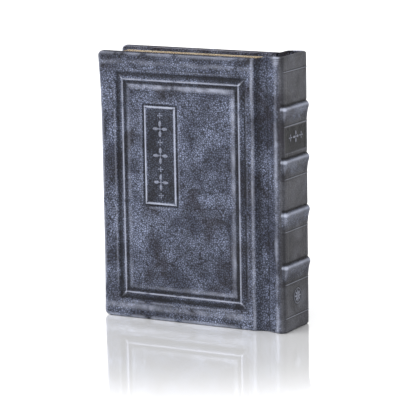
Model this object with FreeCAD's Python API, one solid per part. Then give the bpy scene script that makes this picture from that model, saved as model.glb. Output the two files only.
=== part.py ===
import FreeCAD, Part

import os

# A leather-bound book with raised bands, standing on its tail edge. Millimetres.
# X runs from the fore-edge to the spine, Y from the front cover to the back cover, Z up to the head.
# Inside this file a place is given as x from the fore-edge, depth from a cover's outer face, and z from
# the tail. The origin of the finished model is the middle of the base of its bounding box.

# Overall sizes
board_height = 190.0
spine_face_x = 143.0          # fore-edge of the boards to the flat of the spine
book_thickness = 39.2         # over both covers

# Layers of a cover, from the outside in
leather_wall = 0.9
border_card = 1.1
moulding_card = 0.9
panel_card = 0.8
board_wall = 2.0
turn_in_wall = 0.3
pastedown_wall = 0.2
turn_in_width = 15.0
pastedown_margin = 4.0

# Relief of a cover: distances inward from the edges of the board
board_edge_x = 121.0          # spine side of the board
edge_bevel = 1.6
border_fore = 12.0
border_head = 14.0
border_tail = 13.5
border_spine = 6.5
moulding_run = 5.0            # from the step to the ridge
moulding_crest = 0.2          # flat left along the top of the moulding card
groove_width = 3.4            # from the ridge to the centre panel
panel_slope = 3.0

# Sunken label on the front panel
label_x = 32.8
label_drop = 35.5             # from the head of the board
label_width = 28.2
label_height = 72.9
label_depth = 0.8
label_rim = 2.4

# Joint leather with the French groove
groove_depth = 3.3
joint_gap = 0.4               # between the board's edge and the joint leather
shoulder_depth = 0.3
joint_gap_spine = 0.6         # between the joint leather and the spine leather

# Spine
spine_radius = 5.0
stiffener_wall = 1.6
cap_wall = 0.9
headcap_rise = 2.0
band_count = 4
band_height = 14.4
band_rise = 1.5
band_slope = 2.5
band_drop = 38.8              # head of the board to the middle of the first band
band_pitch = 36.6
band_margin = 0.5             # between a band's end and the rounding of the shoulder

# Text block
square = 3.2                  # how far the boards stand out past the leaves
hollow = 2.57                 # between the stiffener and the lining
lining_wall = 0.3
lining_short = 4.0            # the lining stops this far from the head and the tail
tape_wall = 0.5
tape_width = 10.0
tape_count = 3
endband_height = 1.8
endband_depth = 1.6
group_count = 8               # packets of sections that turn together
sections_per_group = 2
group_gap = 0.1
flyleaf_wall = 0.2
flyleaf_gap = 0.25            # to the pastedown
leaf_gap = 0.2                # flyleaf to the first section

spine_outer_x = spine_face_x + band_rise
spine_height = board_height + headcap_rise
face_depth = leather_wall + border_card            # outer face of the board itself
board_depth = face_depth + board_wall
turn_in_depth = board_depth + turn_in_wall
cover_depth = turn_in_depth + pastedown_wall
flyleaf_depth = cover_depth + flyleaf_gap
text_depth = flyleaf_depth + flyleaf_wall + leaf_gap
text_thickness = book_thickness - 2 * text_depth
group_pitch = text_thickness / group_count
leather_inner_x = spine_face_x - leather_wall
stiffener_x = leather_inner_x - stiffener_wall
lining_x = stiffener_x - hollow
tape_x = lining_x - lining_wall
fold_x = tape_x - tape_wall
shoulder_x = spine_face_x - spine_radius
spine_start_x = shoulder_x + 2.2
joint_end_x = spine_start_x - joint_gap_spine
joint_start_x = board_edge_x + joint_gap
text_tail = square
text_head = board_height - square
middle_x = spine_outer_x / 2
panel_top = border_card - panel_card
ridge_depth = border_card - moulding_card

os.makedirs("parts", exist_ok=True)


def place(shape):
    """Moves a shape from x, depth and z to the model's frame, whose front cover faces -Y."""
    moved = shape.copy()
    moved.translate(FreeCAD.Vector(-middle_x, -book_thickness / 2, 0))
    return moved


def backed(shape):
    """The same shape on the back cover: mirrored through the middle plane of the thickness."""
    return shape.mirror(FreeCAD.Vector(0, book_thickness / 2, 0), FreeCAD.Vector(0, 1, 0))


def save(name, shape):
    place(shape).exportStep("parts/%s.step" % name)
    print(name, len(shape.Solids), round(shape.Volume, 1), shape.isValid())


def block(x, depth, z):
    """A box from pairs of limits."""
    corner = FreeCAD.Vector(x[0], depth[0], z[0])
    return Part.makeBox(x[1] - x[0], depth[1] - depth[0], z[1] - z[0], corner)


def prism(points, z):
    """A plan outline of (x, depth) points, drawn up between two heights."""
    corners = [FreeCAD.Vector(x, depth, z[0]) for x, depth in points]
    face = Part.Face(Part.makePolygon(corners + corners[:1]))
    return face.extrude(FreeCAD.Vector(0, 0, z[1] - z[0]))


def near(a, b):
    return abs(a - b) < 0.01


def rounded(shape, radius, keep):
    """Fillets the edges whose middle point passes keep."""
    chosen = [e for e in shape.Edges if keep(e.CenterOfMass)]
    return shape.makeFillet(radius, chosen)


def grown(rect, amount):
    (x0, x1), (z0, z1) = rect
    return (x0 - amount, x1 + amount), (z0 - amount, z1 + amount)


def rect_wire(rect, depth):
    (x0, x1), (z0, z1) = rect
    corners = [(x0, z0), (x1, z0), (x1, z1), (x0, z1), (x0, z0)]
    return Part.makePolygon([FreeCAD.Vector(x, depth, z) for x, z in corners])


def frustum(low, low_depth, high, high_depth):
    """A solid between two upright rectangles at two depths."""
    return Part.makeLoft([rect_wire(low, low_depth), rect_wire(high, high_depth)], True, True)


def slab(rect, depth):
    return block(rect[0], depth, rect[1])


border_rect = (
    (border_fore, board_edge_x - border_spine),
    (border_tail, board_height - border_head),
)
ridge_rect = grown(border_rect, -moulding_run)
panel_rect = grown(ridge_rect, -groove_width)
panel_flat = grown(panel_rect, -panel_slope)
label_top = board_height - label_drop
label_rect = ((label_x, label_x + label_width), (label_top - label_height, label_top))
board_rect = (
    (leather_wall, board_edge_x - leather_wall),
    (leather_wall, board_height - leather_wall),
)


# ---- Cover -------------------------------------------------------------------------------------

def board():
    return slab(board_rect, (face_depth, board_depth))


def border():
    """The card frame that makes the high flat border, bevelled along the board's edges."""
    outer = frustum(
        grown(board_rect, -edge_bevel), leather_wall, board_rect, face_depth
    )
    return outer.cut(slab(grown(border_rect, leather_wall), (0, face_depth)))


def moulding():
    """The card frame that rises from the foot of the step to the ridge."""
    base = grown(border_rect, -leather_wall)
    inside = grown(ridge_rect, leather_wall / 2)
    top = grown(inside, moulding_crest)
    wedge = frustum(base, face_depth, top, face_depth - moulding_card)
    return wedge.cut(slab(inside, (0, face_depth)))


def panel(with_label):
    inner = grown(panel_rect, -leather_wall)
    card = frustum(inner, face_depth, grown(panel_flat, -leather_wall / 2), face_depth - panel_card)
    if with_label:
        card = card.cut(slab(grown(label_rect, leather_wall / 2), (0, face_depth)))
    return card


def cover_leather(with_label):
    """The leather over one board: the moulded outer face, the edges and the turn-ins."""
    full = ((0, board_edge_x), (0, board_height))
    body = block(full[0], (edge_bevel, turn_in_depth), full[1])
    body = body.fuse(frustum(grown(full, -edge_bevel), 0, full, edge_bevel)).removeSplitter()
    body = body.cut(slab(border_rect, (0, border_card)))
    ridge = frustum(border_rect, border_card, ridge_rect, ridge_depth)
    body = body.fuse(ridge.cut(slab(ridge_rect, (0, border_card))))
    raised = frustum(panel_rect, border_card, panel_flat, panel_top)
    if with_label:
        rim = grown(label_rect, -label_rim)
        floor_depth = panel_top + label_depth
        raised = raised.cut(slab(label_rect, (0, floor_depth)))
        rim_solid = frustum(label_rect, floor_depth, rim, panel_top)
        raised = raised.fuse(rim_solid.cut(slab(rim, (0, floor_depth))))
    body = body.fuse(raised)
    cavity = board().fuse([border(), moulding(), panel(with_label)])
    body = body.cut(cavity)
    window = (
        (turn_in_width, board_edge_x - leather_wall),
        (turn_in_width, board_height - turn_in_width),
    )
    return body.cut(slab(window, (board_depth, turn_in_depth)))


def pastedown():
    """The endpaper glued to the inside of the board, filling the window between the turn-ins."""
    spine_side = board_edge_x - leather_wall
    sheet = block(
        (pastedown_margin, spine_side),
        (turn_in_depth, cover_depth),
        (pastedown_margin, board_height - pastedown_margin),
    )
    filling = block(
        (turn_in_width, spine_side),
        (board_depth, turn_in_depth),
        (turn_in_width, board_height - turn_in_width),
    )
    return sheet.fuse(filling).removeSplitter()


def joint_leather():
    """The strip that bends: up from the board's edge, through the French groove, to the shoulder."""
    groove_start = joint_start_x + 2.1
    groove_end = groove_start + 5.5
    line = [
        (joint_start_x, groove_depth - 0.7),
        (groove_start, groove_depth),
        (groove_end, groove_depth),
        (groove_end + 2.5, groove_depth - 1.0),
        (shoulder_x - 3.0, shoulder_depth + 0.9),
        (shoulder_x, shoulder_depth),
        (joint_end_x, shoulder_depth),
    ]
    under = [(x, depth + leather_wall) for x, depth in reversed(line)]
    return prism(line + under, (0, board_height))


for side, turned in (("front", lambda s: s), ("back", backed)):
    labelled = side == "front"
    save(side + "_board", turned(board()))
    save(side + "_border_card", turned(border()))
    save(side + "_moulding_card", turned(moulding()))
    save(side + "_panel_card", turned(panel(labelled)))
    save(side + "_leather", turned(cover_leather(labelled)))
    save(side + "_pastedown", turned(pastedown()))
    save(side + "_joint_leather", turned(joint_leather()))


# ---- Spine -------------------------------------------------------------------------------------

def spine_block(inset, z):
    """A solid spine with rounded shoulders, inset from the leather's outer face."""
    start = shoulder_x - 2 * spine_radius
    body = block((start, spine_face_x - inset), (inset, book_thickness - inset), z)
    end = spine_face_x - inset
    middle = (z[0] + z[1]) / 2
    faces = (inset, book_thickness - inset)
    return rounded(
        body,
        spine_radius - inset,
        lambda c: near(c.x, end) and near(c.z, middle) and (near(c.y, faces[0]) or near(c.y, faces[1])),
    )


def band_profile(z_middle, face_x, rise, half, slope, depth):
    """A raised band: a long bar with sloping sides, standing out of a face at face_x."""
    corners = [
        (face_x, z_middle - half),
        (face_x + rise, z_middle - half + slope),
        (face_x + rise, z_middle + half - slope),
        (face_x, z_middle + half),
    ]
    points = [FreeCAD.Vector(x, depth[0], z) for x, z in corners]
    face = Part.Face(Part.makePolygon(points + points[:1]))
    return face.extrude(FreeCAD.Vector(0, depth[1] - depth[0], 0))


band_places = [board_height - band_drop - i * band_pitch for i in range(band_count)]
band_inset = spine_radius + band_margin
band_depths = (band_inset, book_thickness - band_inset)


def bands():
    """The card strips under the leather, glued to the stiffener."""
    half = band_height / 2 - leather_wall
    made = [
        band_profile(z, leather_inner_x, band_rise, half, band_slope, band_depths)
        for z in band_places
    ]
    return Part.makeCompound(made)


def stiffener():
    ends = (cap_wall, spine_height - cap_wall)
    body = spine_block(leather_wall, ends)
    return body.common(block((stiffener_x, spine_face_x), (0, book_thickness), ends))


def spine_leather():
    """The leather over the stiffener and the bands, turned in over both ends as caps."""
    full = (0, spine_height)
    outer = spine_block(0, full)
    outer = outer.common(block((spine_start_x, spine_face_x), (0, book_thickness), full))
    depths = (band_depths[0] - leather_wall / 2, band_depths[1] + leather_wall / 2)
    for z in band_places:
        outer = outer.fuse(
            band_profile(z, spine_face_x, band_rise, band_height / 2, band_slope, depths)
        )
    inner = spine_block(leather_wall, (cap_wall, spine_height - cap_wall))
    outer = outer.cut(inner)
    # The caps cover the ends of the stiffener and no more, so that the hollow stays open.
    past_ends = (-1, spine_height + 1)
    open_part = block((0, stiffener_x), (0, book_thickness), past_ends)
    hollow_space = spine_block(leather_wall, past_ends).common(open_part)
    return outer.cut(hollow_space).cut(bands()).removeSplitter()


save("spine_stiffener", stiffener())
save("raised_bands", bands())
save("spine_leather", spine_leather())


# ---- Text block --------------------------------------------------------------------------------

def group_depths(k):
    """Depths of packet k, counted from the front, with half a gap on each side that has a neighbour."""
    start = text_depth + k * group_pitch
    front_gap = 0 if k == 0 else group_gap / 2
    back_gap = 0 if k == group_count - 1 else group_gap / 2
    return start + front_gap, start + group_pitch - back_gap


def section(depths):
    """One sewn section: a packet of folded leaves with a softened fold at the spine."""
    body = block((square, fold_x), depths, (text_tail, text_head))
    radius = (depths[1] - depths[0]) * 0.3
    middle = (text_tail + text_head) / 2
    return rounded(body, radius, lambda c: near(c.x, fold_x) and near(c.z, middle))


tape_pitch = (text_head - text_tail) / (tape_count + 1)

for k in range(group_count):
    front, back = group_depths(k)
    wall = (back - front) / sections_per_group
    for i in range(sections_per_group):
        number = k * sections_per_group + i + 1
        save("section_%02d" % number, section((front + i * wall, front + (i + 1) * wall)))
    tapes = [
        block(
            (fold_x, tape_x), (front, back),
            (text_tail + n * tape_pitch - tape_width / 2, text_tail + n * tape_pitch + tape_width / 2),
        )
        for n in range(1, tape_count + 1)
    ]
    save("sewing_tapes_%d" % (k + 1), Part.makeCompound(tapes))
    lining_ends = (text_tail + lining_short, text_head - lining_short)
    save("spine_lining_%d" % (k + 1), block((tape_x, lining_x), (front, back), lining_ends))
    endbands = [
        block((fold_x - endband_depth, fold_x), (front, back), (text_head, text_head + endband_height)),
        block((fold_x - endband_depth, fold_x), (front, back), (text_tail - endband_height, text_tail)),
    ]
    save("endbands_%d" % (k + 1), Part.makeCompound(endbands))


def flyleaf():
    return block(
        (square + 0.2, board_edge_x), (flyleaf_depth, flyleaf_depth + flyleaf_wall), (text_tail, text_head)
    )


save("front_flyleaf", flyleaf())
save("back_flyleaf", backed(flyleaf()))
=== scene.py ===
import math

import bmesh
import bpy
import numpy as np
from mathutils import Matrix, Vector, noise


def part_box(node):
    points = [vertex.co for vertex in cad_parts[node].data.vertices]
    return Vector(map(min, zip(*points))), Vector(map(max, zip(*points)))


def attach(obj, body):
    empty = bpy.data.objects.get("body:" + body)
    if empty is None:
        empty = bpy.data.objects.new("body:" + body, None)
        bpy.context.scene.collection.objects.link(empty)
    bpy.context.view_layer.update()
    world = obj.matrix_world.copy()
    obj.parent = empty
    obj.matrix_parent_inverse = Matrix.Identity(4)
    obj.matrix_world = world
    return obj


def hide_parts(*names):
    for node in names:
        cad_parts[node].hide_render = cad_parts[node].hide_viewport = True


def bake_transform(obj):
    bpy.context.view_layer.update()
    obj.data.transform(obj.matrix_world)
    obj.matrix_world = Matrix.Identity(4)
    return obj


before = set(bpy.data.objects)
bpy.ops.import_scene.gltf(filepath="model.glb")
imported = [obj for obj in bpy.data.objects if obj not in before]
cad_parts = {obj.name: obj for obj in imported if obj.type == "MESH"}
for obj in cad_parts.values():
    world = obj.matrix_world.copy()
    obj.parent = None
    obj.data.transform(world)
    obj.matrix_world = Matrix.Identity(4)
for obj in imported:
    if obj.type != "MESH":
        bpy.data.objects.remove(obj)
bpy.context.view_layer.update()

mm = 0.001

# Places read from the frame: x runs from the fore-edge to the spine, y from the front to the back.
coverLow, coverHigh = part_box("front_leather")
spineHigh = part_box("spine_leather")[1]
foreEdge = coverLow.x
frontFace = coverLow.y
boardHead = coverHigh.z / mm
spineHead = spineHigh.z / mm
boardEdge = (coverHigh.x - foreEdge) / mm
bookThickness = -2 * frontFace / mm


def place(x, depth, z):
    # millimetres from the fore-edge, into the book from the front face and up from the tail
    return Vector((foreEdge + x * mm, frontFace + depth * mm, z * mm))


def linear(hexColour):
    parts = [int(hexColour[i:i + 2], 16) / 255 for i in (1, 3, 5)]
    return [c / 12.92 if c <= 0.04045 else ((c + 0.055) / 1.055) ** 2.4 for c in parts] + [1.0]


def addNode(material, kind, inputs=None, **settings):
    node = material.node_tree.nodes.new(kind)
    for name, value in settings.items():
        setattr(node, name, value)
    for socket, value in (inputs or {}).items():
        if isinstance(value, bpy.types.NodeSocket):
            material.node_tree.links.new(value, node.inputs[socket])
        else:
            node.inputs[socket].default_value = value
    return node


def newMaterial(name):
    material = bpy.data.materials.new(name)
    material.use_nodes = True
    material.node_tree.nodes.clear()
    return material


def finishMaterial(material, shader):
    addNode(material, "ShaderNodeOutputMaterial", {"Surface": shader.outputs[0]})
    return material


def dress(piece, material):
    piece.data.materials.clear()
    piece.data.materials.append(material)


def deselectAll():
    bpy.ops.object.select_all(action="DESELECT")


studio = {
    "aim": (0.00071, 0.0, 0.095),  # the camera turns round this point
    "azimuth": 29.07,
    "elevation": 10.21,
    "roll": -0.94,
    "distance": 1.7868,
    "lens": 220.6,
    "shift": (0.0072, -0.0517),
    "floorSize": 12.0,
    "wallStrength": 1.02,
    "worldStrength": 0.5,
    "skyPower": 2.7,  # the wide soft light overhead
    "keyPower": 9.0,
    "fillPower": 3.0,
    "backPower": 3.0,
    "gloss": 0.62,
    "glossFull": 0.11,  # metres from the middle where the floor starts to dull
    "glossReach": 0.36,  # and where it is quite dull
}


def makeCamera():
    azimuth, elevation = math.radians(studio["azimuth"]), math.radians(studio["elevation"])
    back = Vector((
        math.sin(azimuth) * math.cos(elevation),
        -math.cos(azimuth) * math.cos(elevation),
        math.sin(elevation),
    ))
    centre = Vector((-studio["aim"][0], studio["aim"][1], studio["aim"][2]))
    bpy.ops.object.camera_add(location=centre + back * studio["distance"])
    camera = bpy.context.object
    camera.name = "studioCamera"
    turn = (-back).to_track_quat("-Z", "Y").to_matrix()
    roll = Matrix.Rotation(math.radians(studio["roll"]), 3, "Z")
    camera.rotation_euler = (turn @ roll).to_euler()
    camera.data.sensor_width = 36
    camera.data.lens = studio["lens"]
    camera.data.shift_x, camera.data.shift_y = studio["shift"]
    camera.data.clip_start = 0.05
    camera.data.clip_end = 50
    bpy.context.scene.camera = camera


def addLight(name, azimuth, elevation, distance, size, power):
    a, e = math.radians(azimuth), math.radians(elevation)
    back = Vector((math.sin(a) * math.cos(e), -math.cos(a) * math.cos(e), math.sin(e)))
    bpy.ops.object.light_add(type="AREA", location=Vector((0, 0, 0.1)) + back * distance)
    light = bpy.context.object
    light.name = name
    light.rotation_euler = (-back).to_track_quat("-Z", "Y").to_euler()
    light.data.shape = "SQUARE"
    light.data.size = size
    light.data.energy = power


def makeStudio():
    deselectAll()
    makeCamera()
    addLight("keySoftbox", -28, 48, 1.4, 1.1, studio["keyPower"])
    addLight("fillSoftbox", 95, 30, 1.6, 1.3, studio["fillPower"])
    addLight("backSoftbox", 190, 45, 1.6, 1.2, studio["backPower"])
    bpy.ops.object.light_add(
        type="SUN", location=(0, 0, 2), rotation=(math.radians(22), math.radians(-6), 0))
    sky = bpy.context.object
    sky.name = "overheadSky"
    sky.data.energy = studio["skyPower"]
    sky.data.angle = math.radians(90)  # as wide as the whole ceiling, so its shadows have no edge
    world = bpy.data.worlds.new("paleStudio")
    bpy.context.scene.world = world
    world.use_nodes = True
    # a white cyclorama round the table, dimmer towards the ceiling
    background = world.node_tree.nodes["Background"]
    background.inputs["Color"].default_value = linear("#ffffff")
    direction = addNode(world, "ShaderNodeTexCoord").outputs["Generated"]
    up = addNode(world, "ShaderNodeSeparateXYZ", {0: direction}).outputs["Z"]
    strength = addNode(world, "ShaderNodeMapRange", {
        "Value": up, "From Min": 0.22, "From Max": 0.5, "To Min": studio["wallStrength"],
        "To Max": studio["worldStrength"],
    }, interpolation_type="SMOOTHSTEP").outputs[0]
    world.node_tree.links.new(strength, background.inputs["Strength"])
    bpy.context.scene.view_settings.view_transform = "Standard"
    bpy.ops.mesh.primitive_plane_add(size=studio["floorSize"], location=(0, 0, -0.00005))
    floor = bpy.context.object
    floor.name = "studioFloor"
    bpy.ops.object.transform_apply(location=True, rotation=True, scale=True)
    # polished white acrylic, dulled away from the middle: the book shows in it near its foot
    material = newMaterial("polishedWhiteAcrylicSheet")
    here = addNode(material, "ShaderNodeTexCoord").outputs["Object"]
    flat = addNode(material, "ShaderNodeVectorMath", {
        0: here, 1: (1.0, 1.0, 0.0),
    }, operation="MULTIPLY").outputs[0]
    away = addNode(material, "ShaderNodeVectorMath", {0: flat}, operation="LENGTH").outputs["Value"]
    dull = addNode(material, "ShaderNodeMapRange", {
        "Value": away, "From Min": studio["glossReach"], "From Max": studio["glossFull"],
    }, interpolation_type="SMOOTHSTEP").outputs[0]
    share = addNode(material, "ShaderNodeMath", {
        0: dull, 1: studio["gloss"],
    }, operation="MULTIPLY").outputs[0]
    plain = addNode(material, "ShaderNodeBsdfDiffuse", {"Color": linear("#f6f6f7")})
    polished = addNode(material, "ShaderNodeBsdfAnisotropic", {
        "Color": linear("#ffffff"), "Roughness": 0.035,
    })
    mixed = addNode(material, "ShaderNodeMixShader", {
        0: share, 1: plain.outputs[0], 2: polished.outputs[0],
    })
    dress(floor, finishMaterial(material, mixed))


makeStudio()
print("studio ready")


leather = {
    "base": "#363a4a",
    "pale": "#646b80",
    # the next colour is that of the skin's random stains
    "stainsAndShade": "#24212a",
    # the next colour is the pale of worn edges and of painted highlights
    "paleRubAndHighlight": "#a5aabb",
    # the next colour is the near black of wax and of painted shade in grooves and hollows
    "waxAndShade": "#0b0b10",
    "spineBase": "#2e2e33",
    "spinePale": "#4b4c53",
    "grainSize": 1.5,  # mm across one pebble of the grain
    "patchSize": 26.0,
    "cloudSize": 8.0,
    "roughness": 0.5,
}


def grainedGoatskin():
    # vegetable-tanned goatskin, dyed slate blue, pressed, rubbed and waxed: pebbled and cloudy. Raised
    # edges are painted pale, partly worn and partly painted highlight, and grooves and hollows are painted
    # near black, partly wax and partly painted shade
    material = newMaterial("antiquedSlateGoatskin")
    rest = addNode(material, "ShaderNodeAttribute", attribute_name="restPlace").outputs["Vector"]
    wearAndPaintedLight = addNode(material, "ShaderNodeAttribute", attribute_name="wearAndPaintedLight").outputs["Fac"]
    spineShare = addNode(material, "ShaderNodeAttribute", attribute_name="spineShare").outputs["Fac"]
    # the stain attribute read here is painted shade in hollows, grooves and creases, with the darker title
    # panel and tooled lines
    paintedShade = addNode(material, "ShaderNodeAttribute", attribute_name="stainsAndShade").outputs["Fac"]

    patches = addNode(material, "ShaderNodeTexNoise", {
        "Vector": rest, "Scale": 1 / (leather["patchSize"] * mm), "Detail": 4.0, "Roughness": 0.6,
        "Distortion": 0.6,
    })
    clouds = addNode(material, "ShaderNodeTexNoise", {
        "Vector": rest, "Scale": 1 / (leather["cloudSize"] * mm), "Detail": 5.0, "Roughness": 0.65,
    })
    moved = addNode(material, "ShaderNodeVectorMath", {0: rest, 1: (0.31, 0.17, 0.43)}, operation="ADD")
    stains = addNode(material, "ShaderNodeTexNoise", {
        "Vector": moved.outputs[0], "Scale": 1 / (leather["patchSize"] * 0.8 * mm), "Detail": 5.0,
        "Roughness": 0.62, "Distortion": 0.4,
    })
    wobble = addNode(material, "ShaderNodeTexNoise", {"Vector": rest, "Scale": 700.0, "Detail": 2.0})
    bent = addNode(material, "ShaderNodeVectorMath", {
        0: wobble.outputs["Color"], 1: (0.0006, 0.0006, 0.0006), 2: rest,
    }, operation="MULTIPLY_ADD")
    pebbles = addNode(material, "ShaderNodeTexVoronoi", {
        "Vector": bent.outputs[0], "Scale": 1 / (leather["grainSize"] * mm), "Randomness": 0.95,
    }, feature="F1")
    creases = addNode(material, "ShaderNodeTexVoronoi", {
        "Vector": bent.outputs[0], "Scale": 1 / (leather["grainSize"] * mm), "Randomness": 0.95,
    }, feature="DISTANCE_TO_EDGE")
    fine = addNode(material, "ShaderNodeTexNoise", {
        "Vector": rest, "Scale": 1 / (0.6 * mm), "Detail": 3.0, "Roughness": 0.65,
    })

    patchFactor = addNode(material, "ShaderNodeMapRange", {
        "Value": patches.outputs["Fac"], "From Min": 0.40, "From Max": 0.62,
    }).outputs[0]
    stainFactor = addNode(material, "ShaderNodeMapRange", {
        "Value": stains.outputs["Fac"], "From Min": 0.52, "From Max": 0.66, "To Max": 0.75,
    }).outputs[0]
    cloudFactor = addNode(material, "ShaderNodeMapRange", {
        "Value": clouds.outputs["Fac"], "From Min": 0.35, "From Max": 0.68, "To Min": 0.86, "To Max": 1.18,
    }).outputs[0]
    top = addNode(material, "ShaderNodeMapRange", {
        "Value": creases.outputs["Distance"], "From Min": 0.0, "From Max": 0.26,
        "To Min": 0.14, "To Max": 1.33,
    }, interpolation_type="SMOOTHSTEP").outputs[0]
    speck = addNode(material, "ShaderNodeMapRange", {
        "Value": fine.outputs["Fac"], "From Min": 0.35, "From Max": 0.68, "To Min": 0.4, "To Max": 1.8,
    }).outputs[0]
    grained = addNode(material, "ShaderNodeMath", {0: top, 1: speck}, operation="MULTIPLY").outputs[0]
    # the spine's leather was paned smooth over the bands, so its grain is nearly pressed out
    calm = addNode(material, "ShaderNodeMapRange", {
        "Value": spineShare, "To Min": 1.0, "To Max": 0.3,
    }).outputs[0]
    grainFactor = addNode(material, "ShaderNodeMix", {
        0: calm, 2: 0.95, 3: grained,
    }, data_type="FLOAT").outputs[0]

    ground = addNode(material, "ShaderNodeMix", {
        0: spineShare, 6: linear(leather["base"]), 7: linear(leather["spineBase"]),
    }, data_type="RGBA").outputs[2]
    paler = addNode(material, "ShaderNodeMix", {
        0: spineShare, 6: linear(leather["pale"]), 7: linear(leather["spinePale"]),
    }, data_type="RGBA").outputs[2]
    colour = addNode(material, "ShaderNodeMix", {
        0: patchFactor, 6: ground, 7: paler,
    }, data_type="RGBA").outputs[2]
    colour = addNode(material, "ShaderNodeMix", {
        0: stainFactor, 6: colour, 7: linear(leather["stainsAndShade"]),
    }, data_type="RGBA").outputs[2]
    shade = addNode(material, "ShaderNodeMath", {
        0: cloudFactor, 1: grainFactor,
    }, operation="MULTIPLY").outputs[0]
    colour = addNode(material, "ShaderNodeVectorMath", {
        0: colour, "Scale": shade,
    }, operation="SCALE").outputs[0]

    # the attribute is 0.5 on a flat place; more on an edge, painted pale, partly worn and partly painted
    # highlight; less in a groove, painted darker, partly wax and partly painted shade
    # painted highlight and wear: raised edges mix towards the pale colour
    paleEdgeAndHighlight = addNode(material, "ShaderNodeMapRange", {
        "Value": wearAndPaintedLight, "From Min": 0.53, "From Max": 0.80, "To Max": 0.85,
    }).outputs[0]
    patchyPaleAndHighlight = addNode(material, "ShaderNodeMath", {0: paleEdgeAndHighlight, 1: cloudFactor}, operation="MULTIPLY",
                        use_clamp=True).outputs[0]
    colour = addNode(material, "ShaderNodeMix", {
        0: patchyPaleAndHighlight, 6: colour, 7: linear(leather["paleRubAndHighlight"]),
    }, data_type="RGBA").outputs[2]
    # painted shade and wax: grooves and the shade attribute mix towards the near-black colour
    creaseWaxAndShade = addNode(material, "ShaderNodeMapRange", {
        "Value": wearAndPaintedLight, "From Min": 0.47, "From Max": 0.22, "To Max": 0.85,
    }).outputs[0]
    waxAndShadeAll = addNode(material, "ShaderNodeMath", {0: creaseWaxAndShade, 1: paintedShade}, operation="MAXIMUM").outputs[0]
    colour = addNode(material, "ShaderNodeMix", {
        0: waxAndShadeAll, 6: colour, 7: linear(leather["waxAndShade"]),
    }, data_type="RGBA").outputs[2]

    rough = addNode(material, "ShaderNodeMapRange", {
        "Value": clouds.outputs["Fac"], "From Min": 0.3, "From Max": 0.7,
        "To Min": leather["roughness"] - 0.08, "To Max": leather["roughness"] + 0.1,
    }).outputs[0]
    height = addNode(material, "ShaderNodeMath", {
        0: pebbles.outputs["Distance"], 1: -0.75, 2: fine.outputs["Fac"],
    }, operation="MULTIPLY_ADD").outputs[0]
    bump = addNode(material, "ShaderNodeBump", {
        "Height": height, "Distance": 0.75 * mm, "Strength": calm,
    }).outputs[0]
    shader = addNode(material, "ShaderNodeBsdfPrincipled", {
        "Base Color": colour, "Roughness": rough, "Normal": bump, "IOR": 1.42, "Specular IOR Level": 0.3,
    })
    return finishMaterial(material, shader)


goatskin = grainedGoatskin()


def mirrorToBack(piece):
    # the back of the book is the front turned over its middle plane
    piece.data.transform(Matrix.Scale(-1, 4, (0, 1, 0)))
    piece.data.flip_normals()


def smoothStep(value, low, high):
    t = np.clip((value - low) / (high - low), 0, 1)
    return t * t * (3 - 2 * t)


def bell(value, middle, width, power=2):
    # 1 at the middle and falling away on both sides
    return np.exp(-((value - middle) / width) ** power)


def stepped(value, steps, **beyond):
    # the second number of each step, run straight from one step to the next
    return np.interp(value, [step[0] for step in steps], [step[1] for step in steps], **beyond)


def joinParts(parts):
    deselectAll()
    for part in parts:
        part.select_set(True)
    bpy.context.view_layer.objects.active = parts[0]
    bpy.ops.object.join()
    return bpy.context.object


def vertexNormals(piece):
    normals = np.empty(len(piece.data.vertices) * 3)
    piece.data.vertices.foreach_get("normal", normals)
    return normals.reshape(-1, 3)


def vertexTable(piece):
    table = np.empty(len(piece.data.vertices) * 3)
    piece.data.vertices.foreach_get("co", table)
    return table.reshape(-1, 3)


def storeVertexTable(piece, table):
    piece.data.vertices.foreach_set("co", table.ravel())
    piece.data.update()


def writeWearAndPaintedLight(piece, keep=1.0, rubAndHighlight=0.0, reach=2, gain=0.9):
    # how far each place stands out from or sinks below its neighbours, spread over a few of them. The
    # leather paints what stands out pale, partly wear and partly painted highlight, and what sinks darker,
    # partly wax and partly painted shade; rub adds painted highlights of its own
    mesh = piece.data
    points = vertexTable(piece)
    normals = vertexNormals(piece)
    ends = np.empty(len(mesh.edges) * 2, dtype=np.int64)
    mesh.edges.foreach_get("vertices", ends)
    ends = ends.reshape(-1, 2)
    first, second = ends[:, 0], ends[:, 1]
    span = points[second] - points[first]
    length = np.maximum(np.linalg.norm(span, axis=1), 1e-6)
    bendFirst = -(span * normals[first]).sum(1) / length
    bendSecond = (span * normals[second]).sum(1) / length
    bendFirst, bendSecond = 2 * bendFirst / length, 2 * bendSecond / length
    weight = 1.0 / length ** 2
    total = np.zeros(len(points))
    share = np.zeros(len(points))
    np.add.at(total, first, bendFirst * weight)
    np.add.at(total, second, bendSecond * weight)
    np.add.at(share, first, weight)
    np.add.at(share, second, weight)
    bend = total / np.maximum(share, 1e-9)
    for _ in range(reach):
        spread = np.zeros(len(points))
        count = np.zeros(len(points))
        near = np.exp(-(length / (0.7 * mm)) ** 2)
        np.add.at(spread, first, bend[second] * near)
        np.add.at(spread, second, bend[first] * near)
        np.add.at(count, first, near)
        np.add.at(count, second, near)
        bend = (bend + spread) / (1 + count)
    wearAndPaintedLight = 0.5 + 0.5 * np.tanh(bend * gain * mm)
    wearAndPaintedLight = np.clip(np.where(wearAndPaintedLight > 0.5, 0.5 + (wearAndPaintedLight - 0.5) * keep, wearAndPaintedLight) + rubAndHighlight, 0, 1)
    attribute = mesh.attributes.new("wearAndPaintedLight", "FLOAT", "POINT")
    attribute.data.foreach_set("value", wearAndPaintedLight.astype(np.float32))


def writeFloat(piece, name, values):
    attribute = piece.data.attributes.new(name, "FLOAT", "POINT")
    attribute.data.foreach_set("value", np.asarray(values, dtype=np.float32))


def writeRestPlace(piece):
    attribute = piece.data.attributes.new("restPlace", "FLOAT_VECTOR", "POINT")
    attribute.data.foreach_set("vector", vertexTable(piece).astype(np.float32).ravel())


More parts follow.
